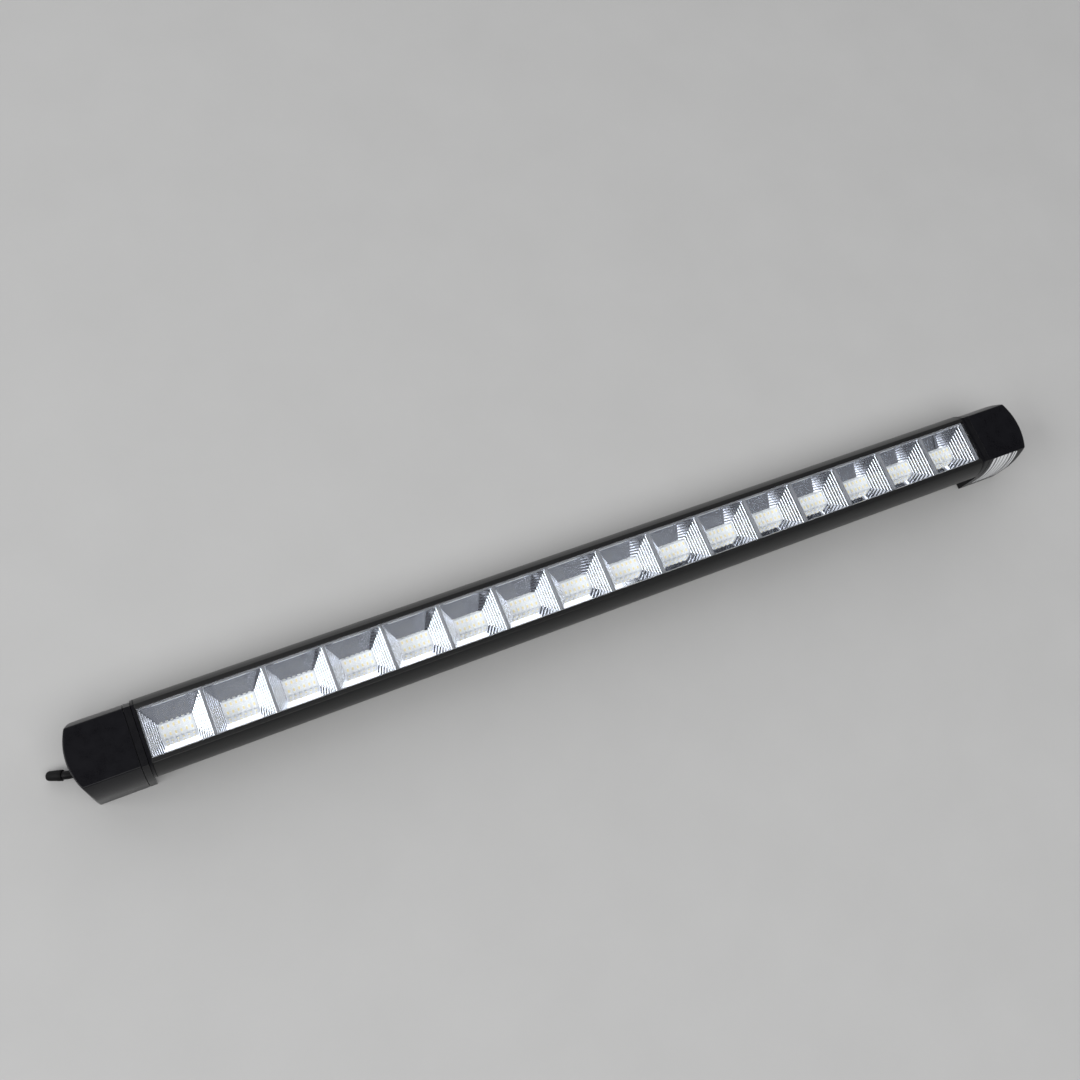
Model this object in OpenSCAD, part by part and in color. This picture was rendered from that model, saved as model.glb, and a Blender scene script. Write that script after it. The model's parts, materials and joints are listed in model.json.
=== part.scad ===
// Slim LED work light: a round-backed bar that swivels between two wall brackets.
// Frame: X along the bar, +Z out of the lens, Z = 0 is the face that screws to the wall.
// The lead leaves the left bracket (-X), the rating label is on the right one (+X).
// A size named *_x is a distance from the middle of the bar, the same at both ends.

/* [Light bar] */
// Number of reflector cells, four to each reflector moulding
cell_count = 16; // [16:4:16]
// Length of one reflector cell along the bar
cell_pitch = 32.75; // [32.5:0.05:32.8]
// Outer radius of the round housing tube
tube_r = 20.6; // [20.4:0.1:20.8]
// Height of the flat front above the swivel axis
flat_h = 13.5; // [13.4:0.05:13.6]
// Wall thickness of the housing tube
tube_wall = 1.8; // [1.6:0.1:1.8]
// Width of the lens between the two lips of the tube
lens_w = 26; // [25:0.5:26]
// Thickness of the lips that hold the lens
lip_t = 1.4; // [1.2:0.1:1.4]

/* [Brackets] */
// Height of the swivel axis above the wall
axis_z = 22.7; // [22.7:0.1:24]
// Length of a bracket from the end of the lens to its rounded tip
bracket_len = 38; // [38:0.5:40]
// Half of the bracket's width at the wall
bracket_half_w = 21; // [21:0.5:23]
// Height up to which the sides of the bracket are upright
side_z = 14; // [10:1:15]
// Radius of the rounded tip, seen from the front
tip_r = 36; // [34:1:40]
// Wall thickness of the covers
cover_wall = 2; // [1.6:0.1:2]

/* [Swivel] */
// Radius of the journal on each end plug
journal_r = 6; // [5.5:0.5:6]
// Radial running clearance between journal and bush
running_gap = 0.05; // [0.02:0.01:0.1]
// Distance from the axis to the stop pin
stop_pin_at = 12; // [12:0.5:13]

/* [Fixing] */
// Radius of the wall screw holes
wall_hole_r = 2.25; // [2:0.25:2.5]
// Distance from the middle of the bar to a pair of wall screws
wall_screw_x = 282; // [281:0.5:282]
// Half of the distance between the two wall screws of a bracket
wall_screw_y = 11; // [10:0.5:11.5]

/* [Lead] */
// Diameter of the two-core supply lead
cord_d = 4.4; // [4:0.1:5]
// Diameter of one insulated core
core_d = 1.6; // [1.2:0.1:1.6]

/* [Hidden] */
// Ends along the bar, from the inside outwards
bar_x = cell_count * cell_pitch / 2;
gasket_t = 0.4;
flange_t = 1.3;
end_gap = 0.3;
plate_t = 3.5;
parting = 0.3;
flange_x = bar_x + gasket_t;
flange_end_x = flange_x + flange_t;
plate_x = flange_end_x + end_gap;
plate_end_x = plate_x + plate_t;
cover_x = plate_end_x + parting;
tip_x = bar_x + bracket_len;
tip_centre_x = tip_x - tip_r;
// Heights above the axis, inside the bar
front_z = axis_z + flat_h;
inner_r = tube_r - tube_wall;
lens_seat_h = flat_h - lip_t;
lens_base_t = 1.4;
reflector_top_h = lens_seat_h - lens_base_t;
reflector_depth = 13;
board_top_h = reflector_top_h - reflector_depth;
board_t = 1.6;
web_top_h = board_top_h - board_t;
web_t = 1.8;
// Screw ports in the tube
port_y = 13.2;
port_h = -9.8;
port_r = 3;
port_hole_r = 1.45;
screw_r = 1.4;
screw_len = 12;
// Reflector cells
cells_per_part = 4;
part_count = cell_count / cells_per_part;
part_len = cells_per_part * cell_pitch;
rib_w = 1.35;
cell_len = cell_pitch - rib_w;
cell_w = 24.6;
floor_len = 17.5;
floor_w = 8;
reflector_wall = 1;
flange_w = 28.2;
// LED chips, two rows in each cell
chip = [1.4, 3, 0.8];
chips_per_row = 6;
chip_pitch = 2.8;
chip_row_y = 2.1;
// Notch that lets the wires up from the lower chamber to the axis
notch_x = bar_x - 7;
notch_y = 7;
// Swivel parts, along the journal
bush_wall = 1.93;
bush_r = journal_r + running_gap + bush_wall;
bush_bore_r = bush_r + 0.02;
boss_r = 11;
boss_x = plate_end_x + 5;
bush_flange_t = 1;
bush_flange_r = 9.8;
washer_x = boss_x + bush_flange_t + 0.1;
washer_t = 0.8;
clip_x = washer_x + washer_t + 0.1;
clip_t = 1;
clip_groove_r = journal_r - 0.8;
journal_end_x = clip_x + clip_t + 2.6;
journal_bore_r = 3.5;
stop_pin_r = 1.5;
stop_slot_r = stop_pin_r + 0.1;
stop_slot_depth = 2.6;
// Brackets
foot_t = 3;
foot_end_x = bar_x + 30;
foot_half_w = bracket_half_w - cover_wall - 0.6;
spigot_len = 2.4;
spigot_gap = 0.2;
catch_r = 0.6;
flat_half_w = sqrt(tube_r * tube_r - flat_h * flat_h);
side_rise = front_z - side_z;
side_c = (flat_half_w * flat_half_w + side_rise * side_rise - bracket_half_w * bracket_half_w)
    / (2 * (bracket_half_w - flat_half_w));
label_x0 = bar_x + 9.2;
label_x1 = bar_x + 28.6;
label_z0 = 5;
label_t = 0.15;
// Where the lead enters the left bracket
lead_y = -2;
lead_z = 6.5;
lead_out_x = tip_x + 0.6;
grommet_r = 3.3;
clamp_x0 = 287;
clamp_x1 = 291.5;
clamp_pad_t = 1;
// Route of the sheathed lead: from the clamp, out of the bracket's tip and down to the floor
cord_route = [
    [-284.6, -2, 6.5], [-287, -2, 6.5], [-289.5, -2, 6.5], [-292, -2, 6.5], [-294.5, -2, 6.5],
    [-297, -2, 6.5], [-299.6, -2, 6.5], [-300.91, -1.94, 6.45], [-302.2, -1.78, 6.28],
    [-303.46, -1.5, 6.01], [-304.66, -1.12, 5.64], [-306.27, -0.52, 5.06], [-307.89, 0.09, 4.48],
    [-309.51, 0.69, 3.9], [-311.12, 1.29, 3.31], [-312.74, 1.89, 2.73],
];
cord_end = cord_route[len(cord_route) - 1];
cap_len = 8;
cap_tip = 0.9;
cap_mouth_r = 2.85;
cap_end_r = 2.5;
$fn = 96;

// Helpers

// Runs a flat drawing (Y across, Z up) along X from x0 to x1
module along_x(x0, x1) {
    translate([x0, 0, 0]) rotate([90, 0, 90]) linear_extrude(x1 - x0) children();
}

// Runs a flat drawing (X across, Z up) along Y from y0 to y1
module along_y(y0, y1) {
    translate([0, y1, 0]) rotate([90, 0, 0]) linear_extrude(y1 - y0) children();
}

// Shows a right-hand end as drawn and turns it over for the left-hand end
module at_end(side) {
    mirror([side < 0 ? 1 : 0, 0, 0]) children();
}

// Round bar or hole along X on a line given by y and its height above the axis
module rod_x(x0, x1, r, y = 0, h = 0) {
    translate([x0, y, axis_z + h]) rotate([0, 90, 0]) cylinder(h = x1 - x0, r = r);
}

// Ring along X around the swivel axis
module ring_x(x0, x1, r_out, r_in) {
    difference() {
        rod_x(x0, x1, r_out);
        rod_x(x0 - 1, x1 + 1, r_in);
    }
}

// Box between two corners
module block(low, high) {
    translate(low) cube(high - low);
}

function unit(v) = v / norm(v);

// Direction of a route at point i
function heading(path, i) =
    unit(path[min(i + 1, len(path) - 1)] - path[max(i - 1, 0)]);

// Solid tube of the given radius swept along a route; across is a direction the route never takes
module swept(path, r, across = [0, 0, 1], sides = 8) {
    rings = len(path);
    points = [
        for (i = [0 : rings - 1])
            let (t = heading(path, i))
            let (a = unit(cross(t, across)))
            let (b = cross(a, t))
            for (k = [0 : sides - 1])
                path[i] + r * (cos(360 * k / sides) * a + sin(360 * k / sides) * b)
    ];
    walls = [
        for (i = [0 : rings - 2])
            for (k = [0 : sides - 1])
                let (n = (k + 1) % sides)
                [i * sides + k, i * sides + n, (i + 1) * sides + n, (i + 1) * sides + k]
    ];
    first = [for (k = [sides - 1 : -1 : 0]) k];
    last = [for (k = [0 : sides - 1]) (rings - 1) * sides + k];
    polyhedron(points = points, faces = concat(walls, [first, last]), convexity = 8);
}

// Flat outlines

// D-shaped outline of the tube, grown by o, with its flat front
module tube_outline(o = 0) {
    intersection() {
        translate([0, axis_z]) circle(r = tube_r + o);
        translate([-2 * tube_r, -tube_r]) square([4 * tube_r, tube_r + front_z]);
    }
}

// Outline of a bracket, grown by o: upright at the wall, curving in to the flat front.
// below carries it down through the wall's plane, for cutting
module bracket_outline(o = 0, below = 0) {
    half = bracket_half_w + o;
    translate([-half, -below]) square([2 * half, side_z + below]);
    intersection() {
        translate([-side_c, side_z]) circle(r = side_c + half);
        translate([side_c, side_z]) circle(r = side_c + half);
        translate([-half, side_z]) square([2 * half, front_z + o - side_z]);
    }
}

// Outline of the bracket's rounded tip, seen from the front
module tip_limit(o = 0) {
    translate([tip_centre_x, 0, -1]) cylinder(h = front_z + 3, r = tip_r + o);
}

// Brackets

module base(side) {
    color("#26262b")
    at_end(side) difference() {
        union() {
            along_x(plate_x, plate_end_x) bracket_outline();
            base_spigot();
            rod_x(plate_end_x, boss_x, boss_r);
            block([plate_end_x, -foot_half_w, 0], [foot_end_x, foot_half_w, foot_t]);
            for (s = [-1, 1]) gusset(s * 15);
        }
        rod_x(plate_x - 1, boss_x + 1, bush_bore_r);
        for (s = [-1, 1]) wall_screw_hole(s * wall_screw_y);
    }
}

// Low wall on the plate that the cover pushes over, with a catch on each side
module base_spigot() {
    grip = cover_wall + spigot_gap;
    difference() {
        along_x(plate_end_x, plate_end_x + spigot_len) bracket_outline(-grip);
        along_x(plate_end_x - 1, plate_end_x + spigot_len + 1) bracket_outline(-grip - 2, 1);
    }
    for (s = [-1, 1])
        translate([plate_end_x + spigot_len / 2, s * (bracket_half_w - grip), 4])
            cylinder(h = 8, r = catch_r);
}

module gusset(y) {
    along_y(y - 1, y + 1)
        polygon([[plate_end_x, foot_t], [plate_end_x + 9, foot_t], [plate_end_x, foot_t + 14]]);
}

module wall_screw_hole(y) {
    translate([wall_screw_x, y, -1]) cylinder(h = foot_t + 2, r = wall_hole_r);
    translate([wall_screw_x, y, foot_t - 1.6])
        cylinder(h = 2, r1 = wall_hole_r, r2 = wall_hole_r + 2.5);
}

// Half-ring slot in which the stop pin travels from one limit to the other
module stop_slot() {
    at_end(-1) {
        intersection() {
            ring_x(plate_x - 1, plate_x + stop_slot_depth, stop_pin_at + stop_slot_r,
                stop_pin_at - stop_slot_r);
            block([plate_x - 2, -20, 0], [plate_end_x, 20, axis_z]);
        }
        for (s = [-1, 1])
            rod_x(plate_x - 1, plate_x + stop_slot_depth, stop_slot_r, s * stop_pin_at, 0);
    }
}

module left_base() {
    color("#26262b") difference() {
        union() {
            base(-1);
            block([-clamp_x1, lead_y - 9.5, foot_t], [-clamp_x0, lead_y + 9.5, foot_t + clamp_pad_t]);
        }
        stop_slot();
        for (s = [-1, 1])
            translate([-(clamp_x0 + clamp_x1) / 2, lead_y + s * 7, 0.6]) cylinder(h = 5, r = 1.3);
    }
}

module right_base() {
    base(1);
}

module cover(side) {
    at_end(side) difference() {
        intersection() {
            along_x(cover_x, tip_x + 1) bracket_outline();
            tip_limit();
        }
        difference() {
            intersection() {
                along_x(cover_x - 1, tip_x + 1) bracket_outline(-cover_wall, 1);
                tip_limit(-cover_wall);
            }
            stiffening_rib();
        }
        for (s = [-1, 1])
            translate([plate_end_x + spigot_len / 2, s * (bracket_half_w - cover_wall - spigot_gap), -1])
                cylinder(h = 13.2, r = catch_r + 0.1);
    }
}

// Rib round the inside of a cover, clear of the clip and of the foot
module stiffening_rib() {
    intersection() {
        difference() {
            along_x(foot_end_x - 4, foot_end_x - 2.8) bracket_outline();
            along_x(foot_end_x - 5, foot_end_x - 1.8) bracket_outline(-cover_wall - 1.6, 1);
        }
        block([bar_x, -40, foot_t + 2], [tip_x, 40, front_z + 1]);
    }
}

module left_cover() {
    color("#1e1e23") difference() {
        cover(-1);
        rod_x(-tip_x - 1, -tip_x + 6, grommet_r + 0.1, lead_y, lead_z - axis_z);
    }
}

module right_cover() {
    color("#1e1e23") difference() {
        cover(1);
        side_patch(label_t + 0.05, 1, 0.3);
    }
}

// Patch of the near side of the right bracket, reaching from deep under its surface to proud
// over it, with a margin of grow all round
module side_patch(deep, proud, grow) {
    intersection() {
        difference() {
            along_x(label_x0 - grow, label_x1 + grow) bracket_outline(proud, 1);
            along_x(label_x0 - grow - 1, label_x1 + grow + 1) bracket_outline(-deep, 2);
        }
        block([label_x0 - 2, -2 * bracket_half_w, label_z0 - grow],
            [label_x1 + 2, 0, front_z - 0.6 + grow]);
    }
}

module pivot_bush(side) {
    color("#d8d4c8") at_end(side) difference() {
        union() {
            rod_x(plate_x + 0.1, boss_x, bush_r);
            rod_x(boss_x, boss_x + bush_flange_t, bush_flange_r);
        }
        rod_x(plate_x - 1, boss_x + bush_flange_t + 1, journal_r + running_gap);
    }
}

module left_pivot_bush() {
    pivot_bush(-1);
}

module right_pivot_bush() {
    pivot_bush(1);
}

module rating_label() {
    color("#d9dadc") side_patch(label_t, 0, 0);
}

// The lead and what holds it

module cable_grommet() {
    color("#141416") difference() {
        union() {
            rod_x(-lead_out_x, -tip_x + 2.8, grommet_r, lead_y, lead_z - axis_z);
            rod_x(-lead_out_x, -tip_x, grommet_r + 0.8, lead_y, lead_z - axis_z);
        }
        rod_x(-tip_x - 2, -tip_x + 4, cord_d / 2 + 0.05, lead_y, lead_z - axis_z);
    }
}

module cable_clamp() {
    clamp_z = foot_t + clamp_pad_t;
    color("#3a3a40") difference() {
        union() {
            block([-clamp_x1, lead_y - 9.5, clamp_z], [-clamp_x0, lead_y + 9.5, clamp_z + 2]);
            block([-clamp_x1, lead_y - 4, clamp_z], [-clamp_x0, lead_y + 4, lead_z]);
            rod_x(-clamp_x1, -clamp_x0, 4, lead_y, lead_z - axis_z);
        }
        block([-clamp_x1 - 1, lead_y - 5, 0], [-clamp_x0 + 1, lead_y + 5, clamp_z]);
        block([-clamp_x1 - 1, lead_y - cord_d / 2 - 0.05, 0],
            [-clamp_x0 + 1, lead_y + cord_d / 2 + 0.05, lead_z]);
        rod_x(-clamp_x1 - 1, -clamp_x0 + 1, cord_d / 2 + 0.05, lead_y, lead_z - axis_z);
        for (s = [-1, 1])
            translate([-(clamp_x0 + clamp_x1) / 2, lead_y + s * 7, 0]) cylinder(h = 9, r = 1.4);
    }
}

module cable_clamp_screws() {
    head_z = foot_t + clamp_pad_t + 2;
    color("#b8babd")
    for (s = [-1, 1])
        translate([-(clamp_x0 + clamp_x1) / 2, lead_y + s * 7, 0]) difference() {
            union() {
                translate([0, 0, 1]) cylinder(h = head_z - 1, r = 1.25);
                translate([0, 0, head_z]) cylinder(h = 1.5, r = 2.2);
            }
            for (turn = [0, 90])
                rotate(turn) translate([-1.3, -0.25, head_z + 0.7]) cube([2.6, 0.5, 2]);
        }
}

// Crimp connectors stand between these two heights
crimp_z0 = 11.5;
crimp_z1 = 17.5;
crimp_x = -282;
crimp_y = 2;

// The two cores, from the end of the sheath through the crimps to the mouth of the journal
module supply_cores() {
    r = core_d / 2;
    color("#8e2420")
    for (s = [-1, 1]) {
        swept([cord_route[0] + [0, s, 0], [-283.6, -1.1 + 1.3 * s, 6.9], [-282.7, -0.2 + 1.8 * s, 8.2],
            [-282.2, crimp_y * s, 9.8], [crimp_x, crimp_y * s, crimp_z0]],
            r, [0, 1, 0]);
        swept([[crimp_x, crimp_y * s, crimp_z1], [-281.9, 1.8 * s, 19.6], [-281.2, 1.4 * s, 21.4],
            [-280, 1.1 * s, 22.5], [-journal_end_x - 0.4, s, axis_z]], r, [0, 1, 0]);
    }
}

module crimp_connectors() {
    color("#c8473a")
    for (s = [-1, 1])
        translate([crimp_x, crimp_y * s, crimp_z0]) cylinder(h = crimp_z1 - crimp_z0, r = 1.6);
}

module cord() {
    color("#1a1a1c") swept(cord_route, cord_d / 2, [0, 0, 1], 16);
}

// Shrunk cap over the end of the lead, which keeps its two cores apart until it is wired up
module cord_end_cap() {
    aim = heading(cord_route, len(cord_route) - 1);
    bore_r = cord_d / 2 + 0.05;
    color("#161618")
    translate(cord_end) rotate([0, acos(aim[2]), atan2(aim[1], aim[0])]) rotate_extrude()
        polygon([
            [0, 0], [bore_r, 0], [bore_r, -cap_len], [cap_mouth_r, -cap_len], [cap_end_r, -0.6],
            [0.8 * cap_end_r, 0.4], [0.4 * cap_end_r, cap_tip], [0, cap_tip],
        ]);
}

// Light bar

module housing_tube() {
    color("#2b2c2f") difference() {
        union() {
            difference() {
                along_x(-bar_x, bar_x) tube_outline();
                along_x(-bar_x - 1, bar_x + 1) inner_outline();
            }
            intersection() {
                rod_x(-bar_x, bar_x, tube_r - 0.5);
                union() {
                    block([-bar_x, -tube_r, axis_z + web_top_h - web_t],
                        [bar_x, tube_r, axis_z + web_top_h]);
                    for (s = [-1, 1]) rod_x(-bar_x, bar_x, port_r, s * port_y, port_h);
                }
            }
        }
        block([-bar_x - 1, -lens_w / 2 - 0.05, axis_z + lens_seat_h - 1],
            [bar_x + 1, lens_w / 2 + 0.05, front_z + 1]);
        for (s = [-1, 1]) rod_x(-bar_x - 1, bar_x + 1, port_hole_r, s * port_y, port_h);
        block([-bar_x - 1, -notch_y, axis_z + web_top_h - web_t - 1],
            [-notch_x, notch_y, axis_z + web_top_h + 1]);
    }
}

// Room inside the tube, up to the underside of the lips
module inner_outline() {
    intersection() {
        translate([0, axis_z]) circle(r = inner_r);
        translate([-tube_r, axis_z - tube_r]) square([2 * tube_r, tube_r + lens_seat_h]);
    }
}

module front_lens() {
    end = bar_x - 0.1;
    color([0.86, 0.9, 0.94, 0.35]) {
        block([-end, -flange_w / 2, axis_z + reflector_top_h], [end, flange_w / 2, axis_z + lens_seat_h]);
        block([-end, -lens_w / 2, axis_z + lens_seat_h], [end, lens_w / 2, front_z - 0.15]);
    }
}

// End plug: flange over the tube's end, locating lug in its lower chamber, hollow journal
module end_plug(side) {
    at_end(side) difference() {
        union() {
            along_x(flange_x, flange_end_x) tube_outline();
            rod_x(flange_end_x - 0.5, journal_end_x, journal_r);
            plug_lug();
        }
        rod_x(bar_x, journal_end_x + 1, journal_bore_r);
        ring_x(clip_x - 0.05, clip_x + clip_t + 0.05, journal_r + 2, clip_groove_r);
        for (s = [-1, 1]) end_screw_shape(s, 0.08);
    }
}

module plug_lug() {
    lug_top_h = -13;
    difference() {
        intersection() {
            rod_x(bar_x - 6, flange_x, inner_r - 0.2);
            block([0, -tube_r, 0], [tip_x, tube_r, axis_z + lug_top_h]);
        }
        for (s = [-1, 1]) rod_x(bar_x - 7, flange_x, port_r + 0.4, s * port_y, port_h);
    }
}

// Countersunk screw in a port of the tube, thicker by gap; side of the bar given by s
module end_screw_shape(s, gap = 0) {
    head_r = 2.6;
    rod_x(flange_end_x - screw_len, flange_end_x, screw_r + gap, s * port_y, port_h);
    translate([flange_end_x - 1.25, s * port_y, axis_z + port_h]) rotate([0, 90, 0])
        cylinder(h = 1.25 + gap, r1 = screw_r + gap, r2 = head_r + gap);
}

module end_screws(side) {
    color("#9a9ca0") at_end(side)
    for (s = [-1, 1])
        difference() {
            end_screw_shape(s);
            for (turn = [0, 90])
                translate([flange_end_x - 0.8, s * port_y, axis_z + port_h]) rotate([turn, 0, 0])
                    translate([0, -1.3, -0.25]) cube([2, 2.6, 0.5]);
        }
}

module end_gasket(side) {
    color("#101012") at_end(side) difference() {
        union() {
            difference() {
                along_x(bar_x, flange_x) tube_outline();
                along_x(bar_x - 1, flange_x + 1) intersection() {
                    translate([0, axis_z]) circle(r = inner_r - 0.2);
                    translate([-tube_r, 0]) square([2 * tube_r, axis_z + reflector_top_h]);
                }
            }
            intersection() {
                rod_x(bar_x, flange_x, tube_r - 0.5);
                for (s = [-1, 1]) rod_x(bar_x, flange_x, port_r, s * port_y, port_h);
            }
        }
        for (s = [-1, 1]) rod_x(bar_x - 1, flange_x + 1, screw_r + 0.2, s * port_y, port_h);
    }
}

module left_end_plug() {
    color("#1b1b1f") difference() {
        end_plug(-1);
        rod_x(-flange_end_x - 1, -flange_x - 0.3, stop_pin_r + 0.02, 0, -stop_pin_at);
    }
}

module right_end_plug() {
    color("#1b1b1f") end_plug(1);
}

module left_end_gasket() {
    end_gasket(-1);
}

module right_end_gasket() {
    end_gasket(1);
}

module left_end_screws() {
    end_screws(-1);
}

module right_end_screws() {
    end_screws(1);
}

// Steel pin in the left plug that runs in the half-ring slot of the base
module stop_pin() {
    color("#b8babd") rod_x(-plate_x - 2.3, -flange_x - 0.3, stop_pin_r, 0, -stop_pin_at);
}

module wave_washer(side) {
    color("#a9abae") at_end(side) ring_x(washer_x, washer_x + washer_t, 9.4, journal_r + 0.2);
}

module left_wave_washer() {
    wave_washer(-1);
}

module right_wave_washer() {
    wave_washer(1);
}

// Open retaining ring in the groove of the journal, with two lugs at its mouth
module retaining_clip(side) {
    ring_r = 8;
    color("#7d7f83") at_end(side) difference() {
        union() {
            rod_x(clip_x, clip_x + clip_t, ring_r);
            for (s = [-1, 1]) rod_x(clip_x, clip_x + clip_t, 1.5, s * 2.6, -ring_r + 0.2);
        }
        rod_x(clip_x - 1, clip_x + clip_t + 1, clip_groove_r + 0.05);
        block([clip_x - 1, -1.3, axis_z - 12], [clip_x + clip_t + 1, 1.3, axis_z]);
        for (s = [-1, 1]) rod_x(clip_x - 1, clip_x + clip_t + 1, 0.6, s * 2.6, -ring_r + 0.2);
    }
}

module left_retaining_clip() {
    retaining_clip(-1);
}

module right_retaining_clip() {
    retaining_clip(1);
}

// Optics

function part_x(i) = -bar_x + (i - 1) * part_len;
function cell_x(i, c) = part_x(i) + (c + 0.5) * cell_pitch;

// Four-sided funnel centred on x, grown outwards by o
module funnel(x, o = 0) {
    top = axis_z + reflector_top_h + (o > 0 ? 0 : 0.01);
    low = axis_z + board_top_h - (o > 0 ? 0 : 0.01);
    intersection() {
        translate([x, 0, 0]) along_y(-cell_w, cell_w)
            polygon([[-cell_len / 2 - o, top], [cell_len / 2 + o, top],
                [floor_len / 2 + o, low], [-floor_len / 2 - o, low]]);
        along_x(x - cell_pitch, x + cell_pitch)
            polygon([[-cell_w / 2 - o, top], [cell_w / 2 + o, top],
                [floor_w / 2 + o, low], [-floor_w / 2 - o, low]]);
    }
}

module reflector(i) {
    top = axis_z + reflector_top_h;
    x0 = part_x(i) + 0.05;
    x1 = part_x(i) + part_len - 0.05;
    color("#c9ccd2") difference() {
        union() {
            block([x0, -flange_w / 2, top - reflector_wall], [x1, flange_w / 2, top]);
            intersection() {
                for (c = [0 : cells_per_part - 1]) funnel(cell_x(i, c), reflector_wall);
                block([x0, -tube_r, 0], [x1, tube_r, front_z]);
            }
        }
        for (c = [0 : cells_per_part - 1]) funnel(cell_x(i, c));
    }
}

module led_board(i) {
    low = axis_z + web_top_h;
    color("#f1f1ec") difference() {
        block([part_x(i) + 0.1, -13.5, low], [part_x(i) + part_len - 0.1, 13.5, low + board_t]);
        if (i == 1) block([-bar_x, -notch_y, low - 1], [-notch_x - 0.3, notch_y, low + board_t + 1]);
    }
}

module led_chips(i) {
    low = axis_z + board_top_h;
    color("#f3d27c")
    for (c = [0 : cells_per_part - 1], k = [0 : chips_per_row - 1], s = [-1, 1])
        translate([cell_x(i, c) + (k - (chips_per_row - 1) / 2) * chip_pitch, s * chip_row_y, low])
            translate([-chip[0] / 2, -chip[1] / 2, 0]) cube(chip);
}

module reflector_1() { reflector(1); }
module reflector_2() { reflector(2); }
module reflector_3() { reflector(3); }
module reflector_4() { reflector(4); }
module led_board_1() { led_board(1); }
module led_board_2() { led_board(2); }
module led_board_3() { led_board(3); }
module led_board_4() { led_board(4); }
module led_chips_1() { led_chips(1); }
module led_chips_2() { led_chips(2); }
module led_chips_3() { led_chips(3); }
module led_chips_4() { led_chips(4); }

// Pairs of links that carry the current from one LED board to the next
module board_jumpers() {
    low = axis_z + board_top_h;
    color("#c9cacc")
    for (i = [2 : part_count], s = [-1, 1])
        block([part_x(i) - 3, s * 7 - 0.6, low], [part_x(i) + 3, s * 7 + 0.6, low + 0.5]);
}

// Driver in the lower chamber
driver_x0 = -230;
driver_x1 = -140;
driver_h = -13.4;
driver_top_z = axis_z + driver_h + board_t;

module driver_board() {
    color("#2f6b45")
    block([driver_x0, -10, axis_z + driver_h], [driver_x1, 10, driver_top_z]);
}

module driver_pad() {
    color("#8f8f94")
    block([driver_x0 + 8, -4, axis_z - inner_r + 0.5], [driver_x1 - 8, 4, axis_z + driver_h]);
}

module driver_capacitor() {
    color("#33363d") rod_x(-172, -161, 2.5, 4, driver_h + board_t + 2.5);
}

// Ferrite drum with its winding between two flanges
module driver_inductor() {
    color("#5a4632") translate([-184, -2, driver_top_z]) {
        cylinder(h = 1, r = 3.6);
        translate([0, 0, 1]) cylinder(h = 2.6, r = 3);
        translate([0, 0, 3.6]) cylinder(h = 1, r = 3.6);
    }
}

// Controller, rectifier and a row of small resistors
module driver_chips() {
    color("#1c1c1f") {
        block([-204, -3, driver_top_z], [-199, 1, driver_top_z + 1.5]);
        block([-214, -3.5, driver_top_z], [-208, 3.5, driver_top_z + 2.2]);
        for (k = [0 : 4])
            block([-156 + 3 * k, -6, driver_top_z], [-154.4 + 3 * k, -2.8, driver_top_z + 0.6]);
    }
}

module terminal_block() {
    color("#3f7fb0") difference() {
        block([-228, -5, driver_top_z], [-219.5, 5, driver_top_z + 5]);
        for (s = [-1, 1]) {
            rod_x(-229, -223, core_d / 2 + 0.1, 2.5 * s, driver_h + board_t + 2.2);
            translate([-223.8, 2.5 * s, driver_top_z + 3.6]) cylinder(h = 3, r = 1.3);
        }
    }
}

// Cores from the mouth of the journal, through the notch in the web, to the terminal block
module input_leads() {
    color("#8e2420")
    for (s = [-1, 1])
        swept([[-journal_end_x, s, axis_z], [-270, s, axis_z], [-264.6, s, axis_z - 0.2],
            [-261.8, s, axis_z - 1.4], [-259.9, s, axis_z - 3.6], [-258.4, s, axis_z - 6.4],
            [-256.2, 1.1 * s, axis_z - 8.6], [-252.6, 1.3 * s, axis_z - 9.5],
            [-244, 1.8 * s, axis_z - 9.7], [-235, 2.4 * s, axis_z - 9.6], [-223.2, 2.5 * s, axis_z - 9.6]],
            core_d / 2, [0, 1, 0]);
}

// Thin leads from the driver up to the first LED board
module led_feed_leads() {
    color("#d8d8d4")
    for (s = [-1, 1])
        swept([[-226, 8 * s, axis_z - 11.2], [-229, 8 * s, axis_z - 11.1], [-236, 7.7 * s, axis_z - 10.2],
            [-245, 7 * s, axis_z - 8.9], [-252, 6.5 * s, axis_z - 8.1], [-256.6, 6.3 * s, axis_z - 7],
            [-258.8, 6.3 * s, axis_z - 5], [-258.9, 6.3 * s, axis_z - 3], [-257.6, 6.3 * s, axis_z - 1.9],
            [-254.4, 6.3 * s, axis_z - 1.7]],
            0.5, [0, 1, 0]);
}

left_base();
right_base();
left_cover();
right_cover();
left_pivot_bush();
right_pivot_bush();
cable_grommet();
cable_clamp();
cable_clamp_screws();
supply_cores();
crimp_connectors();
cord();
cord_end_cap();
rating_label();
housing_tube();
front_lens();
left_end_plug();
right_end_plug();
left_end_gasket();
right_end_gasket();
left_end_screws();
right_end_screws();
left_wave_washer();
right_wave_washer();
left_retaining_clip();
right_retaining_clip();
stop_pin();
reflector_1();
reflector_2();
reflector_3();
reflector_4();
led_board_1();
led_board_2();
led_board_3();
led_board_4();
led_chips_1();
led_chips_2();
led_chips_3();
led_chips_4();
board_jumpers();
driver_board();
driver_capacitor();
driver_inductor();
driver_chips();
terminal_block();
driver_pad();
input_leads();
led_feed_leads();
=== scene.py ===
"""Looks of the slim swivel work light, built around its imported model. Metres throughout.

Frame: X along the bar, +Z out of the lens, Z = 0 is the face of the brackets that screws to a
wall. The brackets stay still, and the bar turns between them about an axis along X.
"""

import json
import math

import bmesh
import bpy
from mathutils import Matrix, Vector


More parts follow.
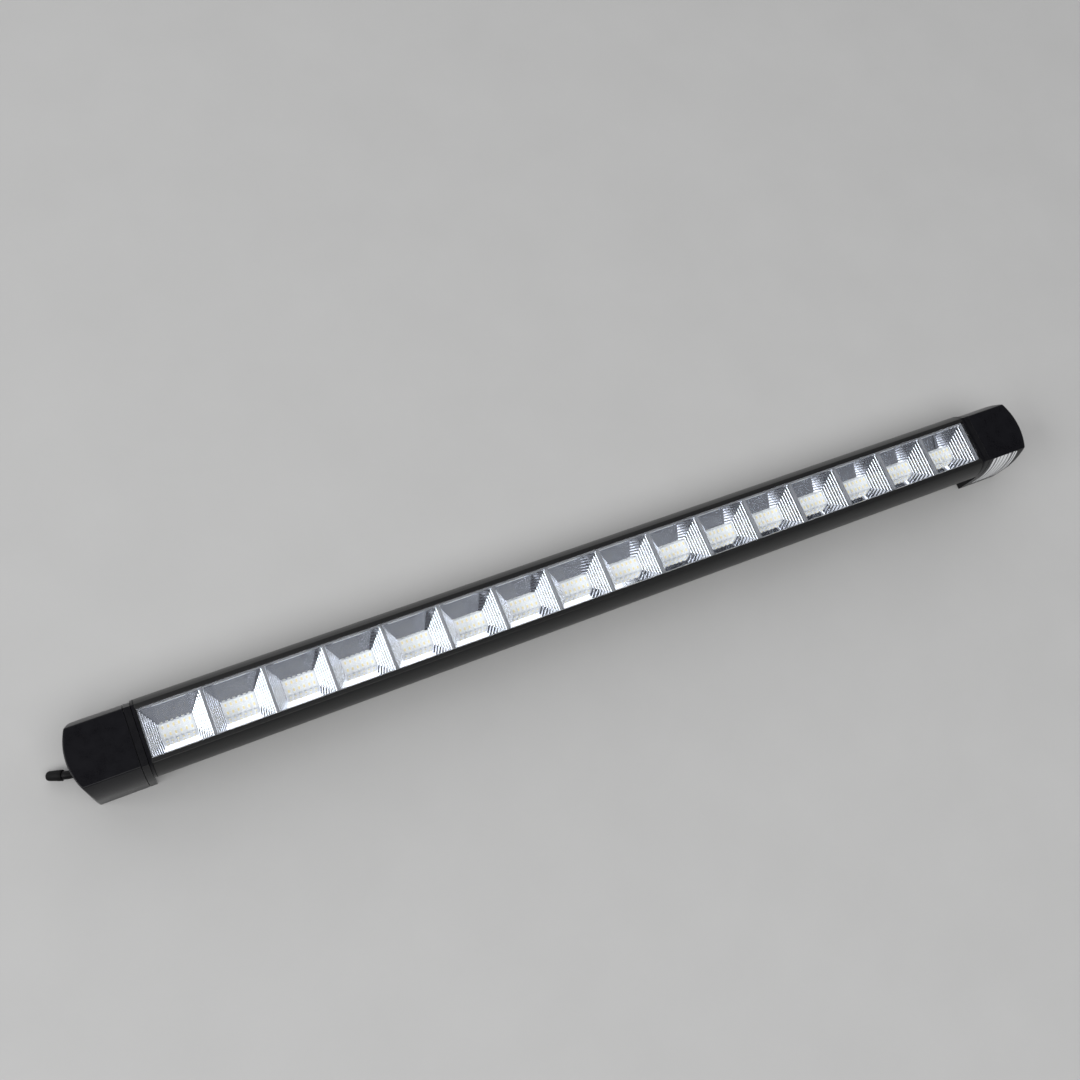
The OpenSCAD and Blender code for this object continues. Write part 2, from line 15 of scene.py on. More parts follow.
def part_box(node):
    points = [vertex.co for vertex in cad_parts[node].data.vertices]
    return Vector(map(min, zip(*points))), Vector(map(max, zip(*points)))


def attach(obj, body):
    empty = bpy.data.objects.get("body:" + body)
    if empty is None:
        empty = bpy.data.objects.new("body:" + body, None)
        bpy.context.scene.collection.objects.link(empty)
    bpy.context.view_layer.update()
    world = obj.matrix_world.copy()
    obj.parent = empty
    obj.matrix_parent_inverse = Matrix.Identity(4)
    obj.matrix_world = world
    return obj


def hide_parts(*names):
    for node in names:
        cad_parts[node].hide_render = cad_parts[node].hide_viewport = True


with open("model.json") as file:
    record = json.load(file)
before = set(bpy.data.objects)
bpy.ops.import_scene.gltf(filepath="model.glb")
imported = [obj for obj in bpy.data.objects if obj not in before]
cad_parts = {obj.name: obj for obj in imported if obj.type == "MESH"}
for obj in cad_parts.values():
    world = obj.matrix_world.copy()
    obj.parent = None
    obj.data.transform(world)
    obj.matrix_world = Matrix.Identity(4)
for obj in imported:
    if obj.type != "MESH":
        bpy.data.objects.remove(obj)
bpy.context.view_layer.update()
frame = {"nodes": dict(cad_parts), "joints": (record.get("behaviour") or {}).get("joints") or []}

MM = 0.001
BRACKETS = "brackets"
BAR = "light_bar"


def low(name):
    """Lowest corner of a CAD node at rest."""
    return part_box(name)[0]


def high(name):
    """Highest corner of a CAD node at rest."""
    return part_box(name)[1]


# Sizes read from the frame
AXIS_Z = frame["joints"][0]["pos_m"][2]
FRONT_Z = high("housing_tube").z
TUBE_R = high("housing_tube").y
BAR_X = high("housing_tube").x
FLAT_H = FRONT_Z - AXIS_Z
FLAT_HALF_W = math.sqrt(TUBE_R**2 - FLAT_H**2)
HALF_W = high("right_cover").y
COVER_X = low("right_cover").x
TIP_X = high("right_cover").x
LENS_LOW_Z = low("front_lens").z
LENS_TOP_Z = high("front_lens").z
LENS_END_X = high("front_lens").x
LENS_BASE_HALF_W = high("front_lens").y
BOARD_TOP_Z = high("led_board_1").z
PART_COUNT = 4
PART_LEN = 2 * BAR_X / PART_COUNT
LABEL_LOW = low("rating_label")
LABEL_HIGH = high("rating_label")

# Brackets: straight sides up to SIDE_Z, then arcs in to the flat front. The arcs' centres lie
# SIDE_C beyond the middle of the bracket, and the tip is an arc in plan.
SIDE_Z = 14 * MM
SIDE_RISE = FRONT_Z - SIDE_Z
SIDE_C = (FLAT_HALF_W**2 + SIDE_RISE**2 - HALF_W**2) / (2 * (HALF_W - FLAT_HALF_W))
TIP_R = 36 * MM
TIP_CENTRE_X = TIP_X - TIP_R
COVER_WALL = 2 * MM
LEAD_HOLE_R = 3.35 * MM

# Label and the shallow pocket that it lies in, measured down from the cover's surface
LABEL_CORNER_R = 1 * MM
LABEL_SINK = 0.02 * MM
LABEL_DEPTH = 0.15 * MM
POCKET_GAP = 0.25 * MM
POCKET_DEPTH = 0.2 * MM

# Housing tube and lens. A web lies WEB_DROP under the boards' faces and stops PLUG_DEPTH short of
# each end. The two screw ports stand PORT_Y off the middle and PORT_DROP below the axis.
TUBE_WALL = 1.8 * MM
LIP_T = 1.4 * MM
LENS_HALF_W = 13 * MM
WEB_T = 1.8 * MM
WEB_DROP = 1.6 * MM
PLUG_DEPTH = 7.4 * MM
PORT_Y = 13.2 * MM
PORT_DROP = 9.8 * MM
PORT_R = 3 * MM
PORT_BORE_R = 1.45 * MM

# Lead: its route runs from the clamp in the bracket to its end, and a shrunk cap covers the end
CORD_D = 4.4 * MM
LEAD_EXIT = (-300.6 * MM, -2 * MM, 6.5 * MM)
LEAD_ROUTE_MM = [
    (-284.6, -2, 6.5), (-287, -2, 6.5), (-289.5, -2, 6.5), (-292, -2, 6.5), (-294.5, -2, 6.5),
    (-297, -2, 6.5), (-299.6, -2, 6.5), (-300.91, -1.94, 6.45), (-302.2, -1.78, 6.28),
    (-303.46, -1.5, 6.01), (-304.66, -1.12, 5.64), (-306.27, -0.52, 5.06), (-307.89, 0.09, 4.48),
    (-309.51, 0.69, 3.9), (-311.12, 1.29, 3.31), (-312.74, 1.89, 2.73),
]
CAP_LEN = 8 * MM
CAP_TIP = 0.9 * MM
CAP_MOUTH_R = 2.85 * MM
CAP_END_R = 2.5 * MM
GROMMET_BODY_R = 3.3 * MM
GROMMET_COLLAR_T = 0.6 * MM

# Reflector cells and chips. Each cell has a rounded lip, a straight collar and walls that come in
# to its floor; its two end walls are fluted.
CELLS_PER_PART = 4
CELL_PITCH = PART_LEN / CELLS_PER_PART
DIVIDER_T = 1.35 * MM
CELL_HALF_LEN = (CELL_PITCH - DIVIDER_T) / 2
CELL_HALF_W = 12.3 * MM
FLOOR_HALF_LEN = 8.75 * MM
FLOOR_HALF_W = 4 * MM
FLANGE_HALF_W = 14 * MM
COLLAR = 2.4 * MM
FLUTES = 7
FLUTE_POINTS = 9
FLUTE_BULGE = 0.36 * MM
LIP_R = 0.3 * MM
CHIPS_PER_ROW = 6
CHIP_PITCH = 2.8 * MM
CHIP_ROW_Y = 2.1 * MM
CHIP_HALF_LEN = 0.7 * MM
CHIP_HALF_W = 1.5 * MM

# Camera: it looks at a point on the floor, from an azimuth counted from -Y, and is rolled
CAMERA_TARGET = (-17.96 * MM, 37.07 * MM, 0)
CAMERA_DISTANCE = 720.08 * MM
CAMERA_AZIMUTH = -55.63
CAMERA_ELEVATION = 67.607
CAMERA_ROLL = 34.806
CAMERA_LENS_MM = 40.327


# Node trees


def node(tree, kind, inputs=None, **settings):
    """Adds a node. An input is a number, a colour or another node's output socket."""
    made = tree.nodes.new(kind)
    for key, value in settings.items():
        setattr(made, key, value)
    for key, value in (inputs or {}).items():
        if isinstance(value, bpy.types.NodeSocket):
            tree.links.new(value, made.inputs[key])
        else:
            made.inputs[key].default_value = value
    return made


def blank(name, **sockets):
    """A material whose Principled shader has its plain numbers set, with its tree and shader."""
    material = bpy.data.materials.new(name)
    material.use_nodes = True
    tree = material.node_tree
    shader = tree.nodes["Principled BSDF"]
    for key, value in sockets.items():
        shader.inputs[key.replace("_", " ")].default_value = value
    return material, tree, shader


def rgb(*channels):
    """An opaque colour."""
    return (*channels, 1.0)


def position(tree, scale=(1, 1, 1)):
    """Place in the model's frame, in metres, multiplied by scale."""
    place = node(tree, "ShaderNodeTexCoord").outputs["Object"]
    return node(tree, "ShaderNodeMapping", {"Vector": place, "Scale": scale}).outputs["Vector"]


def split(tree, vector):
    """The X, Y and Z of a vector, as output sockets by name."""
    return node(tree, "ShaderNodeSeparateXYZ", {"Vector": vector}).outputs


def noise(tree, place, size, detail=3.0, roughness=0.5):
    """Noise with features of the given size in metres."""
    return node(
        tree,
        "ShaderNodeTexNoise",
        {"Vector": place, "Scale": 1 / size, "Detail": detail, "Roughness": roughness},
    ).outputs["Fac"]


def spread(tree, value, to_low, to_high, from_low=0.3, from_high=0.7):
    """Carries a value from one range to another."""
    return node(
        tree,
        "ShaderNodeMapRange",
        {
            "Value": value,
            "From Min": from_low,
            "From Max": from_high,
            "To Min": to_low,
            "To Max": to_high,
        },
    ).outputs["Result"]


def blend_colours(tree, factor, first, second):
    """The first colour where factor is 0, the second where it is 1."""
    inputs = {"Factor": factor, "A": first, "B": second}
    return node(tree, "ShaderNodeMix", inputs, data_type="RGBA").outputs["Result"]


def emboss(tree, shader, height, depth, strength=1.0):
    """Gives a shader a relief of the given depth in metres."""
    inputs = {"Height": height, "Distance": depth, "Strength": strength}
    relief = node(tree, "ShaderNodeBump", inputs)
    tree.links.new(relief.outputs["Normal"], shader.inputs["Normal"])


def grained(name, dark, light, roughness, grain, depth, stretch=(1, 1, 1), broad=20, **sockets):
    """A surface with a fine grain: tone from dark to light in broad patches, roughness from its
    lower to its upper value, and relief of the given depth."""
    material, tree, shader = blank(name, **sockets)
    place = position(tree, stretch)
    fine = noise(tree, place, grain)
    patches = noise(tree, place, grain * broad, detail=5.0, roughness=0.6)
    tree.links.new(
        blend_colours(tree, spread(tree, patches, 0, 1), rgb(*dark), rgb(*light)),
        shader.inputs["Base Color"],
    )
    both = node(tree, "ShaderNodeMath", {0: fine, 1: patches}, operation="ADD").outputs["Value"]
    tree.links.new(
        spread(tree, both, *roughness, from_low=0.6, from_high=1.4), shader.inputs["Roughness"]
    )
    emboss(tree, shader, fine, depth)
    return material


def chrome_material():
    """Vacuum metallised plastic, nearly a mirror, with the faint orange peel of the lacquer."""
    material, tree, shader = blank("chrome", Metallic=1.0)
    place = position(tree)
    haze = noise(tree, place, 9 * MM, detail=4.0)
    tree.links.new(
        blend_colours(tree, haze, rgb(0.80, 0.81, 0.84), rgb(0.90, 0.91, 0.94)),
        shader.inputs["Base Color"],
    )
    tree.links.new(spread(tree, haze, 0.03, 0.09), shader.inputs["Roughness"])
    emboss(tree, shader, noise(tree, place, 2.2 * MM, detail=1.0), 0.006 * MM)
    return material


def lens_material():
    """Clear polycarbonate. Light from the lamps passes straight through to what is behind it."""
    material, tree, shader = blank(
        "clear_lens", Base_Color=rgb(0.96, 0.98, 1.0), IOR=1.5, Transmission_Weight=1.0
    )
    place = position(tree, (0.25, 1, 1))
    flow = noise(tree, place, 12 * MM, detail=2.0)
    tree.links.new(spread(tree, flow, 0.0, 0.02), shader.inputs["Roughness"])
    emboss(tree, shader, flow, 0.01 * MM)
    clear = node(tree, "ShaderNodeBsdfTransparent", {"Color": rgb(0.94, 0.96, 0.98)})
    shadow = node(tree, "ShaderNodeLightPath").outputs["Is Shadow Ray"]
    shaders = {0: shadow, 1: shader.outputs["BSDF"], 2: clear.outputs["BSDF"]}
    mixed = node(tree, "ShaderNodeMixShader", shaders)
    tree.links.new(mixed.outputs["Shader"], tree.nodes["Material Output"].inputs["Surface"])
    return material


def board_material():
    """White solder mask over copper: the tracks show as a faint relief and tone."""
    material, tree, shader = blank("board_white", Roughness=0.35)
    place = position(tree)
    tracks = node(
        tree,
        "ShaderNodeTexBrick",
        {
            "Vector": place,
            "Color1": rgb(0.80, 0.79, 0.79),
            "Color2": rgb(0.77, 0.77, 0.76),
            "Mortar": rgb(0.84, 0.83, 0.83),
            "Scale": 1.0,
            "Mortar Size": 0.25 * MM,
            "Brick Width": 11 * MM,
            "Row Height": 2.1 * MM,
        },
    )
    speckle = noise(tree, place, 0.4 * MM)
    tree.links.new(
        blend_colours(
            tree, spread(tree, speckle, 0, 0.25), tracks.outputs["Color"], rgb(0.9, 0.9, 0.9)
        ),
        shader.inputs["Base Color"],
    )
    emboss(tree, shader, tracks.outputs["Fac"], 0.03 * MM, strength=0.6)
    return material


def phosphor_material():
    """Silicone with yellow phosphor grains."""
    material, tree, shader = blank("phosphor", Roughness=0.3)
    grains = noise(tree, position(tree), 0.12 * MM, detail=4.0, roughness=0.7)
    deep = rgb(0.84, 0.66, 0.30)
    pale = rgb(0.95, 0.85, 0.52)
    tree.links.new(
        blend_colours(tree, spread(tree, grains, 0, 1), deep, pale), shader.inputs["Base Color"]
    )
    emboss(tree, shader, grains, 0.02 * MM, strength=0.7)
    return material


def band(tree, place_x, centre, half_width, softness=0.04 * MM):
    """1 inside a band across X, 0 outside it."""
    away = node(tree, "ShaderNodeMath", {0: place_x, 1: centre}, operation="SUBTRACT").outputs[0]
    apart = node(tree, "ShaderNodeMath", {0: away}, operation="ABSOLUTE").outputs[0]
    return spread(tree, apart, 1, 0, half_width - softness, half_width + softness)


# Centre and half width of each band, as shares of the label's length
LABEL_BANDS = ((0.905, 0.022), (0.78, 0.045), (0.61, 0.020), (0.44, 0.014), (0.28, 0.014), (0.13, 0.03))


def label_material():
    """Pale printed film with plain grey bands across it and no lettering."""
    material, tree, shader = blank("label_film", Roughness=0.38)
    place = position(tree)
    x = split(tree, place)["X"]
    length = LABEL_HIGH.x - LABEL_LOW.x
    tone = blend_colours(
        tree, noise(tree, place, 0.5 * MM), rgb(0.80, 0.81, 0.83), rgb(0.88, 0.89, 0.90)
    )
    for centre, half_width in LABEL_BANDS:
        inside = band(tree, x, LABEL_LOW.x + centre * length, half_width * length)
        tone = blend_colours(tree, inside, tone, rgb(0.13, 0.13, 0.14))
    tree.links.new(tone, shader.inputs["Base Color"])
    emboss(tree, shader, noise(tree, place, 1.5 * MM), 0.01 * MM, strength=0.6)
    return material


# Flat outlines, as lists of (across, up) points, counter-clockwise


def arc(centre, radius, start, end, steps):
    """Points on an arc, angles in degrees."""
    return [
        (
            centre[0] + radius * math.cos(math.radians(start + (end - start) * i / steps)),
            centre[1] + radius * math.sin(math.radians(start + (end - start) * i / steps)),
        )
        for i in range(steps + 1)
    ]


def circle(centre, radius, steps):
    """Points once round a circle."""
    return arc(centre, radius, 0, 360, steps)[:-1]


def rounded(loop, radius, steps=4, sharp=20):
    """A closed loop with each corner that turns by more than sharp degrees rounded off."""
    made = []
    count = len(loop)
    for i, point in enumerate(loop):
        here = Vector(point)
        before = Vector(loop[i - 1]) - here
        after = Vector(loop[(i + 1) % count]) - here
        turn = math.pi - before.angle(after)
        if math.degrees(turn) < sharp:
            made.append(tuple(here))
            continue
        cut = min(radius * math.tan(turn / 2), 0.45 * before.length, 0.45 * after.length)
        start = here + before.normalized() * cut
        end = here + after.normalized() * cut
        for k in range(steps + 1):
            t = k / steps
            curve = (1 - t) ** 2 * start + 2 * t * (1 - t) * here + t**2 * end
            made.append(tuple(curve))
    return made


def inset(loop, distance):
    """A closed loop moved to its left, which is into the material."""
    made = []
    count = len(loop)
    for i, point in enumerate(loop):
        before = (Vector(point) - Vector(loop[i - 1])).normalized()
        after = (Vector(loop[(i + 1) % count]) - Vector(point)).normalized()
        left = Vector((-(before.y + after.y), before.x + after.x)).normalized()
        stretch = 1 / max(0.4, left.dot(Vector((-after.y, after.x))))
        made.append((point[0] + left.x * distance * stretch, point[1] + left.y * distance * stretch))
    return made


# Mesh building


def loft(bm, rings, closed=True):
    """Quads between each ring of points and the next. Returns the rings' vertices."""
    made = [[bm.verts.new(p) for p in ring] for ring in rings]
    count = len(made[0])
    last = count if closed else count - 1
    for a, b in zip(made, made[1:]):
        for i in range(last):
            j = (i + 1) % count
            bm.faces.new((a[i], a[j], b[j], b[i]))
    return made


def edge_profile(x0, x1, edge, steps=3):
    """Stations from x0 to x1 as (x, inset), with both ends rounded over by edge."""
    turns = [math.radians(90 * k / steps) for k in range(steps + 1)]
    start = [(x0 + edge * (1 - math.cos(t)), edge * (1 - math.sin(t))) for t in turns]
    return start + [(x0 + x1 - x, depth) for x, depth in reversed(start)]


def ring_edges(bm, ring):
    """The mesh edges that join a closed ring of vertices."""
    return [bm.edges.get((a, b)) for a, b in zip(ring, ring[1:] + ring[:1])]


def bar(bm, outline, holes, stations):
    """A solid bar along X with the given (y, z) outline and holes, through its stations."""
    ends = ([], [])
    for loop in [outline] + [list(reversed(hole)) for hole in holes]:
        verts = loft(bm, [[(x, *p) for p in inset(loop, depth)] for x, depth in stations])
        ends[0].extend(ring_edges(bm, verts[0]))
        ends[1].extend(ring_edges(bm, verts[-1]))
    for edges in ends:
        bmesh.ops.triangle_fill(bm, use_beauty=True, edges=edges)


def lathe(bm, centre, profile, steps=48):
    """Turns a closed profile of (x, radius) points about the line along X through centre (y, z)."""
    circles = [[(x, *p) for p in circle(centre, r, steps)] for x, r in profile]
    made = [[bm.verts.new(p) for p in line] for line in zip(*circles)]
    count = len(profile)
    for a, b in zip(made, made[1:] + made[:1]):
        for i in range(count):
            j = (i + 1) % count
            bm.faces.new((a[i], a[j], b[j], b[i]))


def weighted_normals(piece):
    """Makes broad faces shade flat up to the rounded edges beside them."""
    modifier = piece.modifiers.new("flat_faces", "WEIGHTED_NORMAL")
    modifier.keep_sharp = True
    modifier.weight = 80


def round_edges(piece, width, angle):
    """Bevels every edge that turns by more than angle degrees."""
    modifier = piece.modifiers.new("round_edges", "BEVEL")
    modifier.width = width
    modifier.segments = 2
    modifier.limit_method = "ANGLE"
    modifier.angle_limit = math.radians(angle)
    modifier.use_clamp_overlap = False


def make_piece(name, bm, materials, body, replaced, smooth_angle=60):
    """Turns a bmesh into a named piece that rides on a body and stands for CAD nodes."""
    bmesh.ops.recalc_face_normals(bm, faces=bm.faces)
    mesh = bpy.data.meshes.new(name)
    bm.to_mesh(mesh)
    bm.free()
    for polygon in mesh.polygons:
        polygon.use_smooth = True
    mesh.set_sharp_from_angle(angle=math.radians(smooth_angle))
    for material in materials:
        mesh.materials.append(material)
    piece = bpy.data.objects.new(name, mesh)
    bpy.context.scene.collection.objects.link(piece)
    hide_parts(*replaced)
    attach(piece, body)
    return piece


# Camera


def make_camera():
    """The camera looks steeply down from the near side, beyond the lead's end of the bar."""
    data = bpy.data.cameras.new("camera")
    data.sensor_width = 36
    data.lens = CAMERA_LENS_MM
    data.clip_start = 10 * MM
    camera = bpy.data.objects.new("camera", data)
    camera.matrix_world = (
        Matrix.Translation(CAMERA_TARGET)
        @ Matrix.Rotation(math.radians(CAMERA_AZIMUTH), 4, "Z")
        @ Matrix.Rotation(math.radians(90 - CAMERA_ELEVATION), 4, "X")
        @ Matrix.Rotation(math.radians(CAMERA_ROLL), 4, "Z")
        @ Matrix.Translation((0, 0, CAMERA_DISTANCE))
    )
    bpy.context.scene.collection.objects.link(camera)
    bpy.context.scene.camera = camera


# The lead


def smooth_route(points, steps=6):
    """Points on one smooth curve through the route."""
    knots = [Vector(p) * MM for p in points]
    knots = [2 * knots[0] - knots[1], *knots, 2 * knots[-1] - knots[-2]]
    made = []
    for a, b, c, d in zip(knots, knots[1:], knots[2:], knots[3:]):
        for k in range(steps):
            t = k / steps
            square = (2 * a - 5 * b + 4 * c - d) * t**2
            cube = (3 * b - a - 3 * c + d) * t**3
            made.append(0.5 * (2 * b + (c - a) * t + square + cube))
    made.append(knots[-2])
    return made


def make_tube(name, points, radius, material):
    """A round tube along one open spline."""
    curve = bpy.data.curves.new(name, "CURVE")
    curve.dimensions = "3D"
    curve.bevel_depth = radius
    curve.bevel_resolution = 6
    curve.use_fill_caps = True
    spline = curve.splines.new("POLY")
    spline.points.add(len(points) - 1)
    for knot, point in zip(spline.points, points):
        knot.co = (*point, 1)
    curve.materials.append(material)
    piece = bpy.data.objects.new(name, curve)
    bpy.context.scene.collection.objects.link(piece)
    return piece


def lead_end_cap(rubber):
    """Shrunk cap over the end of the lead: a snug sleeve with a softly rounded tip. Its profile
    counts from the lead's end, up the outside from the mouth to the tip and back up the bore."""
    end = Vector(LEAD_ROUTE_MM[-1]) * MM
    aim = (end - Vector(LEAD_ROUTE_MM[-2]) * MM).normalized()
    bore = CORD_D / 2 + 0.02 * MM
    wall = [
        (-CAP_LEN + 0.3 * MM, bore), (-CAP_LEN, bore + 0.15 * MM), (-CAP_LEN, CAP_MOUTH_R - 0.2 * MM),
        (-CAP_LEN + 0.2 * MM, CAP_MOUTH_R), (-0.75 * CAP_LEN, CAP_MOUTH_R - 0.04 * MM),
        (-0.55 * CAP_LEN, CAP_MOUTH_R - 0.16 * MM), (-0.3 * CAP_LEN, CAP_END_R + 0.1 * MM),
        (-0.1 * CAP_LEN, CAP_END_R), (-0.1 * MM, 0.9 * CAP_END_R), (0.35 * MM, 0.74 * CAP_END_R),
        (0.65 * MM, 0.54 * CAP_END_R), (0.83 * MM, 0.3 * CAP_END_R), (CAP_TIP, 0.02 * CAP_END_R),
        (0.1 * MM, 0.02 * CAP_END_R), (0.02 * MM, bore),
    ]
    bm = bmesh.new()
    lathe(bm, (0, 0), wall)
    turn = aim.to_track_quat("X", "Z").to_matrix().to_4x4()
    bmesh.ops.transform(bm, matrix=Matrix.Translation(end) @ turn, verts=bm.verts)
    return make_piece("lead_end_sleeve", bm, [rubber], BRACKETS, ["cord_end_cap"], 50)


def make_lead(sheath, rubber):
    """The sheathed lead, from the clamp in the left bracket to its capped end."""
    sleeve = lead_end_cap(rubber)
    lead = make_tube("lead_sheath", smooth_route(LEAD_ROUTE_MM), CORD_D / 2, sheath)
    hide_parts("cord")
    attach(lead, BRACKETS)


def make_grommet(rubber):
    """Rubber bush in the tip of the left bracket: a body in the wall and a rounded collar outside."""
    outer = low("cable_grommet").x
    inner = high("cable_grommet").x
    bore = CORD_D / 2 + 0.05 * MM
    body_r = GROMMET_BODY_R
    collar_r = (high("cable_grommet").y - low("cable_grommet").y) / 2
    face = outer + GROMMET_COLLAR_T
    profile = [
        (outer, bore + 0.3 * MM),
        (outer, collar_r - 0.7 * MM),
        (outer + 0.1 * MM, collar_r - 0.3 * MM),
        (outer + 0.3 * MM, collar_r),
        (face, collar_r),
        (face, body_r),
        (inner - 0.4 * MM, body_r),
        (inner, body_r - 0.4 * MM),
        (inner, bore + 0.2 * MM),
        (inner - 0.2 * MM, bore),
        (outer + 0.3 * MM, bore),
    ]
    bm = bmesh.new()
    lathe(bm, LEAD_EXIT[1:], profile)
    piece = make_piece("lead_grommet", bm, [rubber], BRACKETS, ["cable_grommet"], 40)
    weighted_normals(piece)


# Brackets


def section(offset, fillet):
    """Levels of a bracket's surface, moved in by offset, with its top edge rounded by fillet:
    (z, half width, radius of the tip's arc)."""
    radius = SIDE_C + HALF_W - offset
    top = FRONT_Z - offset
    centre_z = top - fillet
    centre_y = -SIDE_C + math.sqrt((radius - fillet) ** 2 - (centre_z - SIDE_Z) ** 2)
    reach = radius / (radius - fillet)
    touch_z = SIDE_Z + (centre_z - SIDE_Z) * reach
    side_steps = 16
    fillet_steps = 8
    heights = [0, 0.5 * SIDE_Z, SIDE_Z]
    heights += [SIDE_Z + (centre_z - SIDE_Z) * k / side_steps for k in range(1, side_steps + 1)]
    turns = [math.radians(90 * k / fillet_steps) for k in range(1, fillet_steps + 1)]
    heights += [centre_z + fillet * math.sin(t) for t in turns]
    made = []
    for z in heights:
        if z <= SIDE_Z:
            half = HALF_W - offset
        elif z <= touch_z:
            half = -SIDE_C + math.sqrt(radius**2 - (z - SIDE_Z) ** 2)
        else:
            half = centre_y + math.sqrt(max(0, fillet**2 - (z - centre_z) ** 2))
        over = max(0, z - centre_z)
        tip = TIP_R - offset - fillet + math.sqrt(max(0, fillet**2 - over**2))
        made.append((z, half, tip))
    return made


def plan(half, tip, corner):
    """Outline of the right cover seen from the front, from its open end round the tip and back."""
    centre = TIP_CENTRE_X
    corner_x = centre + math.sqrt((tip - corner) ** 2 - (half - corner) ** 2)
    end = math.degrees(math.atan2(half - corner, corner_x - centre))
    points = [(COVER_X + (corner_x - COVER_X) * k / 4, half) for k in range(4)]
    points += arc((corner_x, half - corner), corner, 90, end, 6)[:-1]
    points += arc((centre, 0), tip, end, 0, 18)
    return points + [(x, -y) for x, y in reversed(points[:-1])]


def cover_skin(bm, side, offset, fillet, corner):
    """One surface of a cover, moved in by offset. Side is -1 for the left cover, 1 for the right."""
    levels = [
        [(side * x, y, z) for x, y in plan(half, tip, corner)]
        for z, half, tip in section(offset, fillet)
    ]
    return loft(bm, levels, closed=False)


def cover_shell(side):
    """Hollow cover of one bracket, open to the wall and to the bar."""
    bm = bmesh.new()
    skin = cover_skin(bm, side, offset=0, fillet=0.8 * MM, corner=1.3 * MM)
    lining = cover_skin(bm, side, offset=COVER_WALL, fillet=0.5 * MM, corner=0.7 * MM)
    count = len(skin[0])
    for i in range(count - 1):
        bm.faces.new((skin[0][i], skin[0][i + 1], lining[0][i + 1], lining[0][i]))
    for a, b, c, d in zip(skin, skin[1:], lining[1:], lining):
        bm.faces.new((a[0], b[0], c[0], d[0]))
        bm.faces.new((a[-1], b[-1], c[-1], d[-1]))
    bm.faces.new((skin[-1][0], skin[-1][-1], lining[-1][-1], lining[-1][0]))
    for level in (skin[-1], lining[-1]):
        for i in range(count // 2 - 1):
            bm.faces.new((level[i], level[i + 1], level[count - 2 - i], level[count - 1 - i]))
        middle = count // 2
        bm.faces.new((level[middle - 1], level[middle], level[middle + 1]))
    return bm


def cut_away(piece, cutter_bm):
    """Takes the cutter's solid out of the piece for good."""
    bmesh.ops.recalc_face_normals(cutter_bm, faces=cutter_bm.faces)
    mesh = bpy.data.meshes.new("cutter")
    cutter_bm.to_mesh(mesh)
    cutter_bm.free()
    cutter = bpy.data.objects.new("cutter", mesh)
    bpy.context.scene.collection.objects.link(cutter)
    modifier = piece.modifiers.new("cut", "BOOLEAN")
    modifier.operation = "DIFFERENCE"
    modifier.solver = "EXACT"
    modifier.object = cutter
    bpy.context.view_layer.update()
    seen = piece.evaluated_get(bpy.context.evaluated_depsgraph_get())
    cut_mesh = bpy.data.meshes.new_from_object(seen)
    piece.modifiers.clear()
    piece.data = cut_mesh
    bpy.data.objects.remove(cutter)


def side_y(z, grow=0.0):
    """Half width of a bracket at a height, pushed out by grow."""
    if z <= SIDE_Z:
        return HALF_W + grow
    return -SIDE_C + math.sqrt((SIDE_C + HALF_W + grow) ** 2 - (z - SIDE_Z) ** 2)


def ends_at(loop, z):
    """The lowest and highest x at which a closed loop of (x, z) points crosses a height."""
    hits = []
    for a, b in zip(loop, loop[1:] + loop[:1]):
        if (a[1] - z) * (b[1] - z) <= 0 and a[1] != b[1]:
            hits.append(a[0] + (b[0] - a[0]) * (z - a[1]) / (b[1] - a[1]))
    return min(hits), max(hits)


def side_grid(bm, loop, grow, columns, levels):
    """Rows of vertices that fill a loop of (x, z) points on the near side of the right bracket,
    pushed out by grow."""
    z0 = min(z for _, z in loop)
    z1 = max(z for _, z in loop)
    hair = 0.001 * MM
    grid = []
    for k in range(levels + 1):
        z = z0 + (z1 - z0) * k / levels
        left, right = ends_at(loop, min(max(z, z0 + hair), z1 - hair))
        xs = [left + (right - left) * i / columns for i in range(columns + 1)]
        grid.append([bm.verts.new((x, -side_y(z, grow), z)) for x in xs])
    return grid


def label_plate(x0, x1, z0, z1, corner, face, back):
    """A thin curved plate with rounded corners on the near side of the right bracket. Its face
    and its back are given as heights above the bracket's surface."""
    columns = 24
    levels = 40
    loop = rounded([(x0, z0), (x1, z0), (x1, z1), (x0, z1)], corner, steps=6)
    bm = bmesh.new()
    outer, inner = (side_grid(bm, loop, height, columns, levels) for height in (face, back))
    for grid in (outer, inner):
        for a, b in zip(grid, grid[1:]):
            for i in range(columns):
                bm.faces.new((a[i], a[i + 1], b[i + 1], b[i]))
    for k in range(levels):
        for i in (0, columns):
            bm.faces.new((outer[k][i], outer[k + 1][i], inner[k + 1][i], inner[k][i]))
    for k in (0, levels):
        for i in range(columns):
            bm.faces.new((outer[k][i], outer[k][i + 1], inner[k][i + 1], inner[k][i]))
    return bm


def lead_hole():
    """A round rod through the left cover's wall, on the lead's line."""
    reach = 12 * MM
    ring = circle(LEAD_EXIT[1:], LEAD_HOLE_R, 48)
    bm = bmesh.new()
    ends = loft(bm, [[(x, *p) for p in ring] for x in (LEAD_EXIT[0] - reach, LEAD_EXIT[0] + reach)])
    bm.faces.new(ends[0])
    bm.faces.new(ends[1])
    return bm


